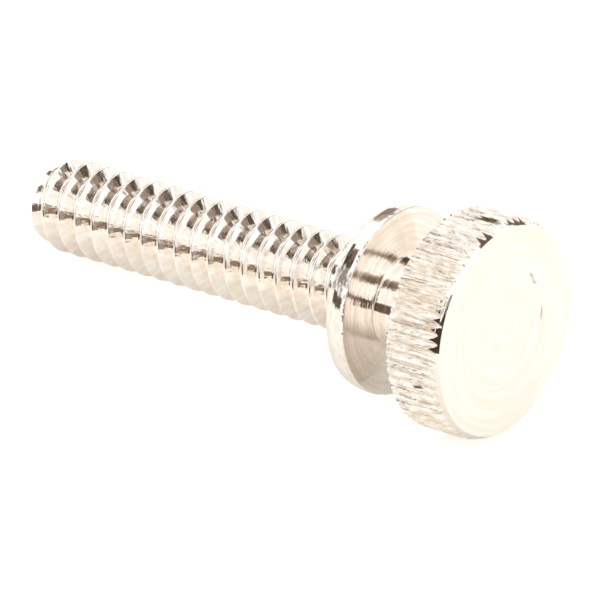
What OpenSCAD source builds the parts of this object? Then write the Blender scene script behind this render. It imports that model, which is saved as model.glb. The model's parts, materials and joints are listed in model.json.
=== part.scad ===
// Knurled thumb screw with a collar: one turned, knurled and threaded piece.
// It lies on its side, resting on the rim of its head and on the last full
// thread, with its head towards +X. Millimetres, +Z up.

/* [Head] */
// Diameter over the crests of the knurl
head_d = 11.25; // [9.8:0.05:16]
// Height of the knurled head, from its back to its end face
head_h = 3.15; // [1.5:0.05:8]
// Number of teeth in the straight knurl
knurl_teeth = 72; // [48:1:84]
// Depth of the grooves between the teeth
knurl_depth = 0.2; // [0.08:0.01:0.22]
// Width of the flat on the crest of each tooth
knurl_crest = 0.06; // [0.03:0.01:0.1]
// Radial width of the chamfer round the end face
face_chamfer_w = 0.28; // [0.23:0.01:1]
// Height of the chamfer round the end face, along the axis
face_chamfer_h = 0.55; // [0.1:0.01:0.8]
// Width of the 45 degree chamfer round the back of the head
back_chamfer = 0.14; // [0.05:0.01:0.5]

/* [Neck] */
// Diameter of the plain neck between the collar and the head
neck_d = 4.6; // [2.5:0.05:8]
// Length of the neck
neck_h = 3.2; // [1:0.05:10]

/* [Collar] */
// Diameter of the collar
collar_d = 9.6; // [6:0.05:14]
// Thickness of the collar
collar_t = 1.15; // [0.6:0.05:3]
// Width of the break on the edge that faces the head
collar_edge = 0.06; // [0.02:0.01:0.15]
// Height of the bevel round the bearing face, along the axis
collar_bevel_h = 0.35; // [0.1:0.01:0.4]
// Radial width of that bevel
collar_bevel_w = 0.18; // [0.05:0.01:0.4]

/* [Shank] */
// Length from the collar's bearing face to the tip
shank_l = 20.75; // [12:0.05:60]
// Diameter of the plain land under the collar
land_d = 4.826; // [4.8:0.001:5]
// Length of the plain land, from the collar to the start of the run-out
land_l = 1.45; // [1.2:0.05:5]
// Length of the cone in which the thread runs out
runout_l = 0.45; // [0.2:0.05:1.5]
// Diameter of the end face at the tip
tip_d = 4; // [2:0.05:4.4]
// Length of the chamfer at the tip
tip_chamfer_l = 1; // [0.2:0.05:2]

/* [Thread] */
// Diameter over the crests of the 10-24 thread
thread_d = 4.78; // [4.6:0.01:4.8]
// Pitch: 24 threads to the inch
thread_pitch = 1.0583; // [0.9:0.0001:1.27]
// Depth of the thread
thread_depth = 0.64; // [0.3:0.01:0.66]
// Width of the flat on the thread's crest
thread_crest = 0.13; // [0.05:0.01:0.2]
// Angle between the two flanks of the thread
thread_angle = 60; // [50:1:62]
// From the tip's shoulder up to the first full crest, on the side that the screw rests on
first_crest_l = 0.25; // [0:0.01:0.5]

/* [Hidden] */
$fn = 96;

// The screw is turned with its axis along Z, the head up and the collar's
// bearing face at z = 0. Its +X side is the one that it comes to rest on.
head_r = head_d / 2;
neck_r = neck_d / 2;
collar_r = collar_d / 2;
land_r = land_d / 2;
thread_r = thread_d / 2;
root_r = thread_r - thread_depth;
tip_r = tip_d / 2;
head_back_z = collar_t + neck_h;
face_z = head_back_z + head_h;
shoulder_z = tip_chamfer_l - shank_l;
// Solids that join reach this far into each other
joint_overlap = 0.2;

// Knurl: V grooves with the crests between them left flat
groove_angle = 360 / knurl_teeth;
crest_half_angle = knurl_crest / head_r * 90 / PI;
groove_root_r = head_r - knurl_depth;

// Thread: a helix of four rows a turn, stepped round the axis
thread_segments = 24;
flank_w = thread_depth * tan(thread_angle / 2);
row_z = [0, flank_w, flank_w + thread_crest, 2 * flank_w + thread_crest];
row_r = [root_r, thread_r, thread_r, root_r];
rows = len(row_z);
// Where the first full crest begins on the side that the screw rests on
first_crest_z = shoulder_z + first_crest_l;
thread_start_z = first_crest_z - flank_w - 3 * thread_pitch;
thread_turns = ceil((-land_l - thread_start_z) / thread_pitch) + 1;
thread_steps = thread_turns * thread_segments;
top_ring_i = thread_steps - thread_segments;

// At rest it touches at that crest and at the rim that stands out most
rest_crest = [first_crest_z, thread_r];
knurl_rest_r = head_r * cos(groove_angle / 2 - crest_half_angle);
rims = [
    [head_back_z + back_chamfer, knurl_rest_r],
    [collar_bevel_h, collar_r],
    [collar_t - collar_edge, collar_r]
];
tilt = max([for (rim = rims) atan2(rim[1] - rest_crest[1], rim[0] - rest_crest[0])]);
lift = rest_crest[1] * cos(tilt) - rest_crest[0] * sin(tilt);
// The tip's end face is little wider than the thread's core
tip_x = -shank_l * cos(tilt) - root_r * sin(tilt);
face_x = face_z * cos(tilt) + (head_r - face_chamfer_w) * sin(tilt);

// A point on the thread: step i round the helix, row j across its form
function thread_point(i, j) =
    let (a = 360 * i / thread_segments)
    [row_r[j] * cos(a), row_r[j] * sin(a), thread_start_z + row_z[j] + thread_pitch * i / thread_segments];

// Its number in the list, where the row after the last is the first, a turn on
function point_no(i, j) = j < rows ? i * rows + j : (i + thread_segments) * rows;

// Two triangles between steps i and i + 1 and rows j and j + 1
function thread_faces(i, j) = [
    [point_no(i, j), point_no(i, j + 1), point_no(i + 1, j + 1)],
    [point_no(i, j), point_no(i + 1, j + 1), point_no(i + 1, j)]
];

// A fan that closes the loop of points at one end onto a point on the axis
function fan(loop, centre) =
    [for (k = [0 : len(loop) - 1]) [loop[k], loop[(k + 1) % len(loop)], centre]];

module threaded_rod() {
    points = [for (i = [0 : thread_steps], j = [0 : rows - 1]) thread_point(i, j)];
    bottom_centre = [0, 0, thread_start_z];
    top_centre = [0, 0, thread_start_z + thread_pitch * thread_turns];
    bottom_loop = concat(
        [for (i = [0 : thread_segments - 1]) point_no(i, 0)],
        [point_no(0, rows)],
        [for (j = [rows - 1 : -1 : 1]) point_no(0, j)]
    );
    top_loop = concat(
        [for (i = [thread_steps : -1 : top_ring_i]) point_no(i, rows - 1)],
        [for (j = [0 : rows - 2]) point_no(thread_steps, j)]
    );
    sides = [
        for (i = [0 : thread_steps - 1], j = [0 : rows - 1])
            if (j < rows - 1 || i < top_ring_i)
                each thread_faces(i, j)
    ];
    faces = concat(sides, fan(bottom_loop, len(points)), fan(top_loop, len(points) + 1));
    polyhedron(points = concat(points, [bottom_centre, top_centre]), faces = faces, convexity = 10);
}

// What the thread is turned down to: the chamfered tip, and clear of the crests above it
module tip_envelope() {
    slope = (thread_r - tip_r) / tip_chamfer_l;
    clear = 0.5;
    rotate_extrude()
        polygon([
            [0, -shank_l],
            [tip_r, -shank_l],
            [thread_r + clear, shoulder_z + clear / slope],
            [thread_r + clear, -land_l],
            [0, -land_l]
        ]);
}

module shank() {
    intersection() {
        threaded_rod();
        tip_envelope();
    }
    rotate_extrude()
        polygon([
            [0, joint_overlap],
            [land_r, joint_overlap],
            [land_r, -land_l],
            [root_r, -land_l - runout_l],
            [0, -land_l - runout_l]
        ]);
}

module collar() {
    rotate_extrude()
        polygon([
            [0, 0],
            [collar_r - collar_bevel_w, 0],
            [collar_r, collar_bevel_h],
            [collar_r, collar_t - collar_edge],
            [collar_r - collar_edge, collar_t],
            [0, collar_t]
        ]);
}

module neck() {
    translate([0, 0, collar_t - joint_overlap])
        cylinder(h = neck_h + 2 * joint_overlap, r = neck_r);
}

// The knurled bar in section, with a groove on the side that the screw rests on
module knurl_section() {
    polygon([
        for (k = [0 : knurl_teeth - 1])
            let (a = k * groove_angle)
            each [
                [groove_root_r * cos(a), groove_root_r * sin(a)],
                [head_r * cos(a + groove_angle / 2 - crest_half_angle),
                 head_r * sin(a + groove_angle / 2 - crest_half_angle)],
                [head_r * cos(a + groove_angle / 2 + crest_half_angle),
                 head_r * sin(a + groove_angle / 2 + crest_half_angle)]
            ]
    ]);
}

module head() {
    clear = 0.1;
    back_r = head_r - back_chamfer;
    face_r = head_r - face_chamfer_w;
    face_slope = face_chamfer_w / face_chamfer_h;
    intersection() {
        translate([0, 0, head_back_z])
            linear_extrude(head_h)
                knurl_section();
        rotate_extrude()
            polygon([
                [0, head_back_z],
                [back_r, head_back_z],
                [head_r + clear, head_back_z + back_chamfer + clear],
                [head_r + clear, face_z - face_chamfer_h - clear / face_slope],
                [face_r, face_z],
                [0, face_z]
            ]);
    }
}

module thumb_screw() {
    color("#d8cfc4")
        translate([-(tip_x + face_x) / 2, 0, lift])
            rotate([0, 90 - tilt, 0]) {
                shank();
                collar();
                neck();
                head();
            }
}

thumb_screw();
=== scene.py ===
# A knurled thumb screw with a collar, bright nickel plate on brass. It lies on its side,
# on the rim of its head and the last full thread at its tip. Lengths in the dictionaries
# are millimetres; one matrix at the end lays the screw down in metres.
import json
import math

import bmesh
import bpy
from mathutils import Matrix, Vector, noise


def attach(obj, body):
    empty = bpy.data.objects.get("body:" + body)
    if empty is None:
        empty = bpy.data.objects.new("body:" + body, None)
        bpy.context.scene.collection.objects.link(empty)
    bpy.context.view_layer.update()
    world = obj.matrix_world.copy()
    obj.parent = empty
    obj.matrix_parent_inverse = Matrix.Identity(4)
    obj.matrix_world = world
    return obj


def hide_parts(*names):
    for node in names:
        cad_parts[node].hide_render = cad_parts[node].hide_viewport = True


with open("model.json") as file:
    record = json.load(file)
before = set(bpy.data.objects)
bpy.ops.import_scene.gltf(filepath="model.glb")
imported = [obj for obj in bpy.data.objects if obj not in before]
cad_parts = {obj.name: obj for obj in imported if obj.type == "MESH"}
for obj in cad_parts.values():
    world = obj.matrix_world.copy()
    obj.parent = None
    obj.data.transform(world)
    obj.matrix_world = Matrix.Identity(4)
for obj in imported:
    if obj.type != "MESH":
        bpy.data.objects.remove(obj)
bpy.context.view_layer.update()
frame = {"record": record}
mm = 0.001
near = 1e-3       # mm: points this close together are one
nearCut = 1e-5    # and beside a cut, which may leave shorter edges than that

# The screw's own axis is +Z with the head up and the collar's bearing face at z = 0.
# Its +X side is the one it rests on. The frame's mounts say where that axis is.
mounts = {mount["name"]: mount for mount in frame["record"]["mounts"]}
axisUp = Vector(mounts["head_face"]["axis"]).normalized()
restSide = Vector((0, 1, 0)).cross(axisUp)

head = {
    "radius": 5.625,       # over the crests of the knurl
    "height": 3.15,
    "teeth": 72,
    "depth": 0.2,          # of the grooves between them
    "unevenness": 0.28,    # share of that depth, from tooth to tooth
    "unevenStep": 1.37,    # how far apart the noise for two teeth is read
    "unevenAlong": 0.4,    # and how far for each mm along a tooth
    "valleyForm": 1.7,     # the power that shapes a groove: 1 is a V, 2 a round valley
    "grain": 0.007,        # depth of the fine grain left by the knurling wheel
    "grainRound": 7,       # grains to the mm, round the head
    "grainAlong": 1.6,     # and along a tooth
    "grainShift": 7,       # keeps the grain's noise clear of the other
    "faceRadius": 5.345,   # where the chamfer meets the end face
    "chamfer": 0.55,       # height of that chamfer
    "backChamfer": 0.14,
    "leastChamfer": 0.01,  # what is left of a chamfer in the deepest groove
    "stepsPerTooth": 10,   # faces across a tooth
    "rows": 22,            # faces along a tooth
    "faceRings": (1, 0.97, 0.8, 0.55, 0.3, 0.1, 0),   # shares of the face's radius
}
neck = {"radius": 2.3, "length": 3.2, "fillet": 0.08}
collar = {
    "radius": 4.8,
    "thickness": 1.15,
    "edge": 0.06,          # rounding of the edge that faces the head
    "bevelHeight": 0.35,   # the bevel round the bearing face
    "bevelWidth": 0.18,
    "bevelRound": 0.04,
    "rimRound": 0.05,
    "crown": 0.05,         # how far the rim falls away towards that bevel
    "crownMiddle": 0.4,    # share of that fall at the crown's middle point
    "crownMiddleAt": 0.275,   # where that point is, as a share of the way up the rim
    "crownTop": 0.25,      # how far below the upper edge the crown ends
    "crownRound": 0.6,
    "nicks": 0.045,        # depth of the small nicks in the edge that faces the head
    "nicksRound": 9,       # radius of the circle on which their noise is read
    "fineNicks": 2.7,      # how many times shorter the short ones are
    "fineNickDepth": 0.6,  # and their depth, as a share
    "nickFree": 0.05,      # taken off them all, which leaves most of the edge whole
}
shank = {
    "length": 20.75,
    "landRadius": 2.413,   # the plain land under the collar
    "landLength": 1.45,
    "runOut": 0.45,        # the cone between it and the thread
    "tipRadius": 2.0,
    "tipChamfer": 1.0,
}
thread = {
    "crestRadius": 2.39,
    "pitch": 1.0583,
    "depth": 0.64,
    "crestWidth": 0.13,
    "flankAngle": 30,
    "rootRound": 0.13,
    "crestRound": 0.1,
    "firstCrest": 0.25,    # from the tip's shoulder up to it, on the side it rests on
    "stepsPerTurn": 96,
}

headBack = collar["thickness"] + neck["length"]
faceHeight = headBack + head["height"]
seat = Vector(mounts["head_face"]["pos_m"]) - axisUp * faceHeight * mm
layDown = Matrix.Translation(seat) @ Matrix((
    (restSide.x, 0, axisUp.x, 0),
    (restSide.y, 1, axisUp.y, 0),
    (restSide.z, 0, axisUp.z, 0),
    (0, 0, 0, 1),
)) @ Matrix.Scale(mm, 4)


def roundedLine(corners, steps=4):
    # Corners are (r, z, rounding radius). A rounded one becomes an arc of that many steps.
    line = []
    for i, (r, z, rounding) in enumerate(corners):
        here = Vector((r, z))
        if rounding == 0 or i in (0, len(corners) - 1):
            line.append(here)
            continue
        back = (Vector(corners[i - 1][:2]) - here).normalized()
        on = (Vector(corners[i + 1][:2]) - here).normalized()
        half = back.angle(on) / 2
        centre = here + (back + on).normalized() * rounding / math.sin(half)
        start = here + back * rounding / math.tan(half) - centre
        end = here + on * rounding / math.tan(half) - centre
        turn = start.angle_signed(end)
        for k in range(steps + 1):
            a = turn * k / steps
            line.append(centre + Vector((
                start.x * math.cos(a) + start.y * math.sin(a),
                start.y * math.cos(a) - start.x * math.sin(a),
            )))
    return line


def addLine(bm, line):
    verts = [bm.verts.new((p.x, 0, p.y)) for p in line]
    for a, b in zip(verts, verts[1:]):
        bm.edges.new((a, b))
    return verts


def everything(bm):
    return bm.verts[:] + bm.edges[:] + bm.faces[:]


def cutAt(bm, z, keepAbove):
    bmesh.ops.bisect_plane(
        bm, geom=everything(bm), dist=nearCut, plane_co=(0, 0, z), plane_no=(0, 0, 1),
        clear_inner=keepAbove, clear_outer=not keepAbove,
    )


def setRadius(v, new):
    r = math.hypot(v.co.x, v.co.y)
    v.co.x *= new / r
    v.co.y *= new / r


def makeShank(bm):
    depth = thread["depth"]
    crest = thread["crestRadius"]
    root = crest - depth
    flank = depth * math.tan(math.radians(thread["flankAngle"]))
    width = thread["crestWidth"]
    pitch = thread["pitch"]
    mid = pitch / 2
    # One pitch of the thread form, from mid-root to mid-root
    form = roundedLine([
        (root, 0, 0),
        (root, mid - width / 2 - flank, thread["rootRound"]),
        (crest, mid - width / 2, thread["crestRound"]),
        (crest, mid + width / 2, thread["crestRound"]),
        (root, mid + width / 2 + flank, thread["rootRound"]),
        (root, pitch, 0),
    ])
    # The first full crest on the side that the screw rests on
    shoulder = shank["tipChamfer"] - shank["length"]
    start = shoulder + thread["firstCrest"] + width / 2 - mid - 3 * pitch
    turns = math.ceil(-start / pitch) + 1
    steps = thread["stepsPerTurn"]
    verts = addLine(bm, [p + Vector((0, start)) for p in form])
    bmesh.ops.spin(
        bm, geom=verts + bm.edges[:], cent=(0, 0, 0), axis=(0, 0, 1),
        dvec=(0, 0, pitch / steps), angle=2 * math.pi, steps=steps,
    )
    oneTurn = everything(bm)
    for turn in range(1, turns):
        copy = bmesh.ops.duplicate(bm, geom=oneTurn)["geom"]
        copyVerts = [v for v in copy if isinstance(v, bmesh.types.BMVert)]
        bmesh.ops.translate(bm, vec=(0, 0, turn * pitch), verts=copyVerts)
    bmesh.ops.remove_doubles(bm, verts=bm.verts[:], dist=near)
    # The tip's chamfer, the run-out and the plain land, as limits on the radius
    slope = (crest - shank["tipRadius"]) / shank["tipChamfer"]
    land = shank["landRadius"]
    runSlope = (land - root) / shank["runOut"]
    for v in bm.verts:
        r = math.hypot(v.co.x, v.co.y)
        tip = shank["tipRadius"] + (v.co.z + shank["length"]) * slope
        runOut = min(land, land + (v.co.z + shank["landLength"]) * runSlope)
        setRadius(v, max(min(r, tip), runOut))
    cutAt(bm, -shank["length"], True)
    cutAt(bm, 0, False)
    rims = [e for e in bm.edges if e.is_boundary]
    tipRim = [e for e in rims if e.verts[0].co.z < -shank["landLength"]]
    bmesh.ops.contextual_create(bm, geom=tipRim)
    return [e for e in rims if e not in tipRim]


def toothRadius(angle, z):
    # Sharp crests, rounded valleys and no two grooves quite the same. u runs from -1 to 1
    # across a groove, and the noise is read far enough apart for each groove to differ.
    u = angle * head["teeth"] / (2 * math.pi)
    tooth = round(u) % head["teeth"]
    u = 2 * (u - round(u))
    uneven = noise.noise(Vector((tooth * head["unevenStep"], z * head["unevenAlong"], 0)))
    around = Vector((math.cos(angle), math.sin(angle), 0)) * head["radius"]
    fine = noise.noise(Vector((
        around.x * head["grainRound"], around.y * head["grainRound"],
        z * head["grainAlong"] + head["grainShift"],
    )))
    depth = head["depth"] * (1 + uneven * head["unevenness"])
    groove = depth * (1 - abs(u) ** head["valleyForm"])
    return head["radius"] - groove + head["grain"] * fine - head["grain"]


def nickDepth(angle):
    # Mostly none, with a small nick here and there: long ones and short ones added up
    around = Vector((math.cos(angle), math.sin(angle), 0)) * collar["nicksRound"]
    long = noise.noise(around)
    short = noise.noise(around * collar["fineNicks"]) * collar["fineNickDepth"]
    return collar["nicks"] * max(0, long + short - collar["nickFree"])


# A line this far from an edge keeps the shading of the face flat. The one beside the land
# is where the collar is bridged to the shank.
beside = {"land": 0.12, "bevel": 0.4, "rim": 0.5, "neck": 0.4, "neckEnd": 0.3}


def makeHead(bm):
    edge = collar["edge"]
    rim = collar["radius"]
    thick = collar["thickness"]
    bevel = collar["bevelHeight"]
    crown = collar["crown"]
    crownZ = bevel + (thick - bevel) * collar["crownMiddleAt"]
    back = head["radius"] - head["backChamfer"]
    bevelRim = rim - collar["bevelWidth"]
    neckRadius = neck["radius"]
    fillet = neck["fillet"]
    line = roundedLine([
        (shank["landRadius"] + beside["land"], 0, 0),
        (bevelRim - beside["bevel"], 0, 0),
        (bevelRim, 0, collar["bevelRound"]),
        (rim - crown, bevel, collar["rimRound"]),
        (rim - crown * collar["crownMiddle"], crownZ, collar["crownRound"]),
        (rim, thick - collar["crownTop"], collar["crownRound"]),
        (rim, thick, edge),
        (rim - beside["rim"], thick, 0),
        (neckRadius + beside["neck"], thick, 0),
        (neckRadius, thick, fillet),
        (neckRadius, thick + beside["neckEnd"], 0),
        (neckRadius, headBack - beside["neckEnd"], 0),
        (neckRadius, headBack, fillet),
        (neckRadius + beside["neck"], headBack, 0),
        (back, headBack, 0),
    ])
    rows = head["rows"]
    for k in range(rows + 1):
        line.append(Vector((head["radius"], headBack + head["height"] * k / rows)))
    line += [Vector((head["faceRadius"] * share, faceHeight)) for share in head["faceRings"]]
    verts = addLine(bm, line)
    # One tooth's width is spun, then repeated round the axis
    tooth = 2 * math.pi / head["teeth"]
    around = {"cent": (0, 0, 0), "axis": (0, 0, 1)}
    bmesh.ops.spin(
        bm, geom=verts + bm.edges[:], angle=tooth, steps=head["stepsPerTooth"], **around,
    )
    bmesh.ops.spin(
        bm, geom=everything(bm), angle=2 * math.pi - tooth, steps=head["teeth"] - 1,
        use_duplicate=True, **around,
    )
    bmesh.ops.remove_doubles(bm, verts=bm.verts[:], dist=near)
    # Nicks go into the collar's edge and grooves into the head. The rows of faces along a
    # tooth are drawn together, so that they start and end on the two chamfers.
    slope = (head["radius"] - head["faceRadius"]) / head["chamfer"]
    least = head["leastChamfer"]
    for v in bm.verts:
        r = math.hypot(v.co.x, v.co.y)
        angle = math.atan2(v.co.y, v.co.x)
        if abs(v.co.z - thick) < edge + near and abs(r - rim) < edge + near:
            setRadius(v, r - nickDepth(angle))
            continue
        if v.co.z < headBack - near or r < back - near:
            continue
        if r < back + near:
            if v.co.z < headBack + near:
                setRadius(v, min(back, toothRadius(angle, headBack)))
            continue
        t = (v.co.z - headBack) / head["height"]
        low = toothRadius(angle, headBack)
        high = toothRadius(angle, faceHeight - head["chamfer"])
        zLow = headBack + max(least, low - back)
        zHigh = faceHeight - max(least, (high - head["faceRadius"]) / slope)
        v.co.z = zLow + (zHigh - zLow) * t
        new = toothRadius(angle, v.co.z)
        if t < near:
            new = low
        if t > 1 - near:
            new = high
        setRadius(v, new)
    bmesh.ops.remove_doubles(bm, verts=bm.verts[:], dist=near)


finishNames = ["rolledThread", "turnedCollar", "scuffedRim", "knurledGrip", "facedEnd"]
# How far in from the collar's rim and from the head's chamfer their finishes reach. A
# face whose normal leans more than "lean" along the axis isn't part of the knurl.
reach = {"collarRim": 0.15, "knurl": 0.3, "lean": 0.25}


def finishOf(face):
    # Which finish a face has, from where it is on the screw
    centre = face.calc_center_median()
    r = math.hypot(centre.x, centre.y)
    z = centre.z
    if -shank["length"] + near < z < -shank["landLength"]:
        return "rolledThread"
    if 0 < z < collar["thickness"] and r > collar["radius"] - reach["collarRim"]:
        return "scuffedRim"
    if z > faceHeight - near:
        return "facedEnd"
    flat = abs(face.normal.z) > reach["lean"]
    if z > headBack and r > head["faceRadius"] - reach["knurl"] and not flat:
        return "knurledGrip"
    return "turnedCollar"


sharpAngle = 28    # degrees: sharp on the real edges only


def makeScrew():
    upper = bmesh.new()
    makeHead(upper)
    spare = bpy.data.meshes.new("spare")
    upper.to_mesh(spare)
    upper.free()
    bm = bmesh.new()
    shankRim = makeShank(bm)
    bm.from_mesh(spare)
    bpy.data.meshes.remove(spare)
    collarRim = [e for e in bm.edges if e.is_boundary and e not in shankRim]
    bmesh.ops.bridge_loops(bm, edges=shankRim + collarRim)
    bmesh.ops.remove_doubles(bm, verts=bm.verts[:], dist=nearCut)
    bmesh.ops.recalc_face_normals(bm, faces=bm.faces[:])
    for face in bm.faces:
        face.material_index = finishNames.index(finishOf(face))
    bmesh.ops.transform(bm, matrix=layDown, verts=bm.verts[:])
    openEdges = sum(e.is_boundary for e in bm.edges)
    print("screw made:", len(bm.faces), "faces and", openEdges, "open edges")
    mesh = bpy.data.meshes.new("thumbScrew")
    bm.to_mesh(mesh)
    bm.free()
    mesh.polygons.foreach_set("use_smooth", [True] * len(mesh.polygons))
    mesh.set_sharp_from_angle(angle=math.radians(sharpAngle))
    screw = bpy.data.objects.new("thumbScrew", mesh)
    bpy.context.scene.collection.objects.link(screw)
    return screw


screw = makeScrew()


def linear(hexColour):
    # An sRGB hex colour as linear values, with an alpha of 1
    channels = [int(hexColour[i:i + 2], 16) / 255 for i in (1, 3, 5)]
    return [c / 12.92 if c <= 0.04045 else ((c + 0.055) / 1.055) ** 2.4 for c in channels] + [1]


def addNode(tree, kind, links=None, **settings):
    node = tree.nodes.new(kind)
    for name, value in settings.items():
        setattr(node, name, value)
    for socket, value in (links or {}).items():
        if isinstance(value, bpy.types.NodeSocket):
            tree.links.new(value, node.inputs[socket])
        else:
            node.inputs[socket].default_value = value
    return node


# Bright nickel plate over turned brass: a warm white mirror that shows the marks of the
# tools below it. A real tool mark is some 0.02 mm wide, too fine to show here, so each is
# drawn as coarse as it needs to show. "arc" is how far a mark runs round the axis, in
# degrees, "length" its size along the axis or outwards on a face, and "relief" its depth,
# in mm. "detail" is how many finer sets of marks lie over it. The plate is "dark" where
# the marks are deep. A blemish is a dull brown patch in the colour "stain", at
# (centre, turn in degrees about the axis, half-sizes outwards, round and along it).
finishes = {
    "rolledThread": {
        "light": "#FEFAF5", "dark": "#F6EBE0", "roughness": (0.08, 0.15),
        "arc": 9, "length": 0.3, "relief": 0.02, "detail": 2, "blemishes": [],
    },
    "turnedCollar": {
        "light": "#FEFAF5", "dark": "#F4EAE0", "roughness": (0.03, 0.1),
        "arc": 40, "length": 0.24, "relief": 0.018, "detail": 3, "blemishes": [],
    },
    "scuffedRim": {
        "light": "#FEFAF5", "dark": "#F4EAE0", "roughness": (0.04, 0.14),
        "arc": 5, "length": 0.2, "relief": 0.004, "detail": 3, "stain": "#8C8075",
        "blemishes": [((-3.2, -3.58, 0.6), -132, (0.5, 1.35, 0.56))],
    },
    "knurledGrip": {
        "light": "#FDF8F0", "dark": "#E0D2C2", "roughness": (0.05, 0.16),
        "arc": 1.5, "length": 0.55, "relief": 0.018, "detail": 4, "stain": "#6A5848",
        "blemishes": [
            ((0.63, -5.56, 6.19), -83.5, (0.3, 0.08, 0.4)),
            ((-5.42, 1.2, 6.3), 168, (0.5, 0.5, 1)),
        ],
    },
    "facedEnd": {
        "light": "#FFFFFB", "dark": "#FCF7ED", "roughness": (0.08, 0.2),
        "arc": 60, "length": 0.2, "relief": 0.005, "detail": 3, "stain": "#CDB9A8",
        "blemishes": [
            ((-1.82, 2.55, 7.5), 24, (0.26, 0.09, 0.5)),
            ((-1.46, 2.64, 7.5), 0, (0.22, 0.09, 0.5)),
            ((-1.32, 2.78, 7.5), 0, (0.1, 0.12, 0.5)),
            ((0.56, 2.96, 7.5), -17, (0.4, 0.08, 0.5)),
            ((1.07, 2.62, 7.5), -48, (0.2, 0.06, 0.5)),
        ],
    },
}


# How the noise of the marks, from 0 to 1, is read: the plate is lightest from "lightAt"
# up and darkest from "darkAt" down. "breakUp" is how far the marks break up a blemish,
# and "fade" where it starts to show, as a share of its half-size.
toolMarks = {"roughness": 0.55, "lightAt": 0.62, "darkAt": 0.36, "breakUp": 0.7, "fade": 0.7}


def makeFinish(name, look):
    material = bpy.data.materials.new(name + "NickelPlate")
    material.use_nodes = True
    tree = material.node_tree
    shader = tree.nodes["Principled BSDF"]
    # Screw coordinates in mm, from the object's own
    place = addNode(tree, "ShaderNodeMapping", {
        "Vector": addNode(tree, "ShaderNodeTexCoord").outputs["Object"],
        "Location": layDown.translation,
        "Rotation": layDown.to_euler(),
        "Scale": (mm, mm, mm),
    }, vector_type="TEXTURE")
    parts = addNode(tree, "ShaderNodeSeparateXYZ", {0: place.outputs[0]})
    outwards = addNode(tree, "ShaderNodeCombineXYZ", {0: parts.outputs[0], 1: parts.outputs[1]})
    radius = addNode(tree, "ShaderNodeVectorMath", {0: outwards.outputs[0]}, operation="LENGTH")
    way = addNode(tree, "ShaderNodeVectorMath", {0: outwards.outputs[0]}, operation="NORMALIZE")
    # Along the axis, and outwards on a face across it
    along = addNode(tree, "ShaderNodeMath", {
        0: parts.outputs[2], 1: radius.outputs["Value"],
    }, operation="ADD")
    across = addNode(tree, "ShaderNodeMath", {
        0: along.outputs[0], 1: 1 / look["length"],
    }, operation="MULTIPLY")
    # One mark is about one unit of the noise each way
    lift = addNode(tree, "ShaderNodeCombineXYZ", {2: across.outputs[0]})
    marks = addNode(tree, "ShaderNodeVectorMath", {
        0: way.outputs[0], 1: [math.degrees(1) / look["arc"]] * 3, 2: lift.outputs[0],
    }, operation="MULTIPLY_ADD")
    pattern = addNode(tree, "ShaderNodeTexNoise", {
        "Vector": marks.outputs[0], "Scale": 1, "Detail": look["detail"],
        "Roughness": toolMarks["roughness"],
    })
    bump = addNode(tree, "ShaderNodeBump", {
        "Height": pattern.outputs[0], "Distance": look["relief"] * mm,
    })
    depth = addNode(tree, "ShaderNodeMapRange", {
        "Value": pattern.outputs[0],
        "From Min": toolMarks["lightAt"], "From Max": toolMarks["darkAt"],
    })
    plate = addNode(tree, "ShaderNodeMix", {
        "Factor": depth.outputs[0], "A": linear(look["light"]), "B": linear(look["dark"]),
    }, data_type="RGBA").outputs["Result"]
    for centre, turn, size in look["blemishes"]:
        spot = addNode(tree, "ShaderNodeMapping", {
            "Vector": place.outputs[0], "Location": centre,
            "Rotation": (0, 0, math.radians(turn)), "Scale": size,
        }, vector_type="TEXTURE")
        away = addNode(tree, "ShaderNodeVectorMath", {0: spot.outputs[0]}, operation="LENGTH")
        # It breaks up over the marks, and fades out at its edge
        broken = addNode(tree, "ShaderNodeMath", {
            0: depth.outputs[0], 1: -toolMarks["breakUp"], 2: away.outputs["Value"],
        }, operation="MULTIPLY_ADD")
        amount = addNode(tree, "ShaderNodeMapRange", {
            "Value": broken.outputs[0], "From Min": toolMarks["fade"], "From Max": 0,
        })
        plate = addNode(tree, "ShaderNodeMix", {
            "Factor": amount.outputs[0], "A": plate, "B": linear(look["stain"]),
        }, data_type="RGBA").outputs["Result"]
    gloss = addNode(tree, "ShaderNodeMapRange", {
        "Value": depth.outputs[0],
        "To Min": look["roughness"][0], "To Max": look["roughness"][1],
    })
    tree.links.new(plate, shader.inputs["Base Color"])
    tree.links.new(gloss.outputs[0], shader.inputs["Roughness"])
    tree.links.new(bump.outputs[0], shader.inputs["Normal"])
    shader.inputs["Metallic"].default_value = 1
    return material


for name in finishNames:
    screw.data.materials.append(makeFinish(name, finishes[name]))
print("screw plated")

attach(screw, "root")
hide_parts("thumb_screw")

# A matt white floor. It also glows a little, up to white for the camera and less in
# reflections.
floorLook = {
    "size": 4000,    # mm
    "colour": "#E6E2D9",
    "roughness": 0.9,
    "seenGlow": 0.6,
    "mirroredGlow": 0.17,
}
bpy.ops.mesh.primitive_plane_add(size=floorLook["size"] * mm)
floor = bpy.context.object
floor.name = "floor"
floorPaint = bpy.data.materials.new("mattWhitePaint")
floorPaint.use_nodes = True
tree = floorPaint.node_tree
paint = tree.nodes["Principled BSDF"]
paint.inputs["Base Color"].default_value = linear(floorLook["colour"])
paint.inputs["Roughness"].default_value = floorLook["roughness"]
rays = addNode(tree, "ShaderNodeLightPath")
mirrored = addNode(tree, "ShaderNodeMath", {
    0: rays.outputs["Is Glossy Ray"], 1: rays.outputs["Is Transmission Ray"],
}, operation="MAXIMUM")
mirrored = addNode(tree, "ShaderNodeMath", {
    0: mirrored.outputs[0], 1: floorLook["mirroredGlow"],
}, operation="MULTIPLY")
glow = addNode(tree, "ShaderNodeMath", {
    0: rays.outputs["Is Camera Ray"], 1: floorLook["seenGlow"], 2: mirrored.outputs[0],
}, operation="MULTIPLY_ADD")
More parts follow.
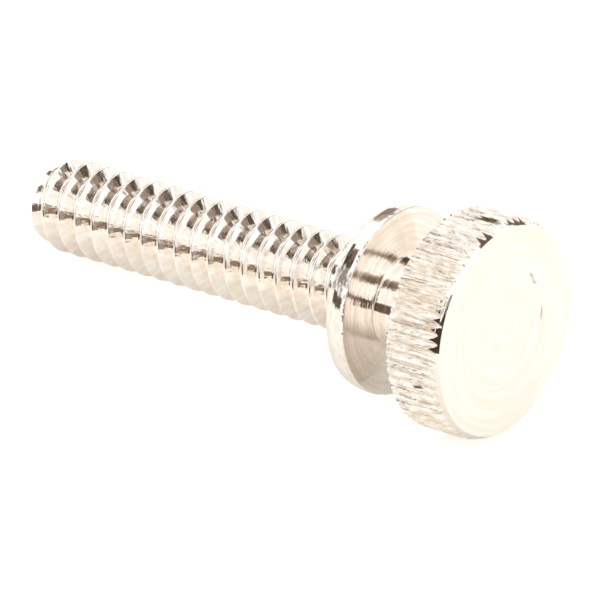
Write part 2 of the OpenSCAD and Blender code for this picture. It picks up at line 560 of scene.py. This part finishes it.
light = addNode(tree, "ShaderNodeEmission", {"Strength": glow.outputs[0]})
both = addNode(tree, "ShaderNodeAddShader", {0: paint.outputs[0], 1: light.outputs[0]})
tree.links.new(both.outputs[0], tree.nodes["Material Output"].inputs["Surface"])
floor.data.materials.append(floorPaint)

# A white studio, a little brighter overhead than at the horizon. It is at its brightest
# from "highAt" up, which is the sine of the elevation.
studio = {"horizon": 1.0, "overhead": 1.2, "highAt": 0.35}
world = bpy.data.worlds.new("studio")
bpy.context.scene.world = world
world.use_nodes = True
tree = world.node_tree
direction = addNode(tree, "ShaderNodeTexCoord")
height = addNode(tree, "ShaderNodeSeparateXYZ", {0: direction.outputs["Generated"]})
brightness = addNode(tree, "ShaderNodeMapRange", {
    "Value": height.outputs[2], "From Min": 0, "From Max": studio["highAt"],
    "To Min": studio["horizon"], "To Max": studio["overhead"],
})
sky = tree.nodes["Background"]
sky.inputs["Color"].default_value = (1, 1, 1, 1)
tree.links.new(brightness.outputs[0], sky.inputs["Strength"])

# Dark cards round the white studio, which only reflections see. Each glows in its own colour: a
# painted reflection of the dim surroundings that the metal mirrors. Degrees, with azimuth 0 at
# the front and turning towards +X: (name, azimuth from, to, elevation from, to, colour).
cards = {
    "distance": 450,    # mm
    "stepsRound": 24,
    "stepUp": 5,        # degrees
    "leastSteps": 2,    # up a low card
    "pieces": [
        ("frontCard", -21, 9, -2, 17, "#8A7766"),
        ("cameraCard", 9, 23, -6, 44, "#463A31"),
        ("cameraTopCard", 18, 24, 44, 56, "#A09184"),
        ("cameraSideCard", 23, 42, -2, 19, "#6A5A4E"),
        ("frontRightCard", 42, 77, -2, 14, "#A29284"),
        ("leftLowCard", -76, -34, -2, 11, "#65574B"),
        ("leftCard", -94, -70, 15, 38, "#5F5146"),
        ("leftUpperCard", -84, -60, 33, 45, "#7A6B5F"),
        ("leftTopCard", -92, -38, 58, 80, "#55463B"),
        ("rearTopCard", -165, -92, 67, 81, "#9C8D7F"),
        ("rearUpperCard", 167, 205, 50, 68, "#6E5F53"),
        ("rearSideCard", 186, 197, 3, 27, "#75685C"),
        ("rearCard", -148, -126, 20, 30, "#B5A79A"),
        ("rearLowCard", -143, -128, 0, 20, "#95877A"),
        ("rightCard", 143, 165, 15, 36, "#54463A"),
        ("rightSideCard", 126, 143, 18, 40, "#9A8A7C"),
        ("rightUpperCard", 165, 180, 30, 48, "#CDC0B4"),
        ("rightTopCard", 143, 162, 36, 43, "#A89A8D"),
        ("topCard", 34, 64, 49, 66, "#7A695C"),
        ("topSideCard", 64, 75, 52, 64, "#B9AA9D"),
    ],
}


def makeCard(name, azimuthFrom, azimuthTo, low, high, colour):
    bm = bmesh.new()
    ends = []
    steps = max(cards["leastSteps"], round((high - low) / cards["stepUp"]))
    for k in range(steps + 1):
        e = math.radians(low + (high - low) * k / steps)
        ends.append(bm.verts.new((0, -math.cos(e), math.sin(e))))
    for a, b in zip(ends, ends[1:]):
        bm.edges.new((a, b))
    start = Matrix.Rotation(math.radians(azimuthFrom), 3, "Z")
    bmesh.ops.rotate(bm, cent=(0, 0, 0), matrix=start, verts=ends)
    bmesh.ops.spin(
        bm, geom=ends + bm.edges[:], cent=(0, 0, 0), axis=(0, 0, 1),
        angle=math.radians(azimuthTo - azimuthFrom), steps=cards["stepsRound"],
    )
    size = cards["distance"] * mm
    bmesh.ops.scale(bm, vec=[size] * 3, verts=bm.verts[:])
    mesh = bpy.data.meshes.new(name)
    bm.to_mesh(mesh)
    bm.free()
    card = bpy.data.objects.new(name, mesh)
    bpy.context.scene.collection.objects.link(card)
    # The card is black and glows in its colour. It is no lamp but a painted reflection, which
    # only the metal shows.
    cardGlow = bpy.data.materials.new(name + "ReflectedGlow")
    cardGlow.use_nodes = True
    look = cardGlow.node_tree.nodes["Principled BSDF"]
    look.inputs["Base Color"].default_value = (0, 0, 0, 1)
    look.inputs["Specular IOR Level"].default_value = 0
    look.inputs["Emission Color"].default_value = linear(colour)
    look.inputs["Emission Strength"].default_value = 1
    card.data.materials.append(cardGlow)
    card.visible_camera = False
    card.visible_diffuse = False
    card.visible_shadow = False


for piece in cards["pieces"]:
    makeCard(*piece)
print("studio set up")

view = {
    "azimuth": 37.07,
    "elevation": 34.83,
    "aim": (5.23, -5.36, 7.22),   # the point in the middle of the view, mm
    "distance": 556,              # mm
    "lens": 680,                  # mm, a long lens
    "sensor": 36,                 # mm
    "clipStart": 10,              # mm
}
azimuth = math.radians(view["azimuth"])
elevation = math.radians(view["elevation"])
towardsCamera = Vector((
    math.sin(azimuth) * math.cos(elevation),
    -math.cos(azimuth) * math.cos(elevation),
    math.sin(elevation),
))
camera = bpy.data.objects.new("camera", bpy.data.cameras.new("camera"))
bpy.context.scene.collection.objects.link(camera)
camera.data.sensor_width = view["sensor"]
camera.data.lens = view["lens"]
camera.data.clip_start = view["clipStart"] * mm
camera.location = (Vector(view["aim"]) + towardsCamera * view["distance"]) * mm
camera.rotation_euler = (-towardsCamera).to_track_quat("-Z", "Y").to_euler()
bpy.context.scene.camera = camera
bpy.context.scene.view_settings.view_transform = "Standard"
print("camera placed")
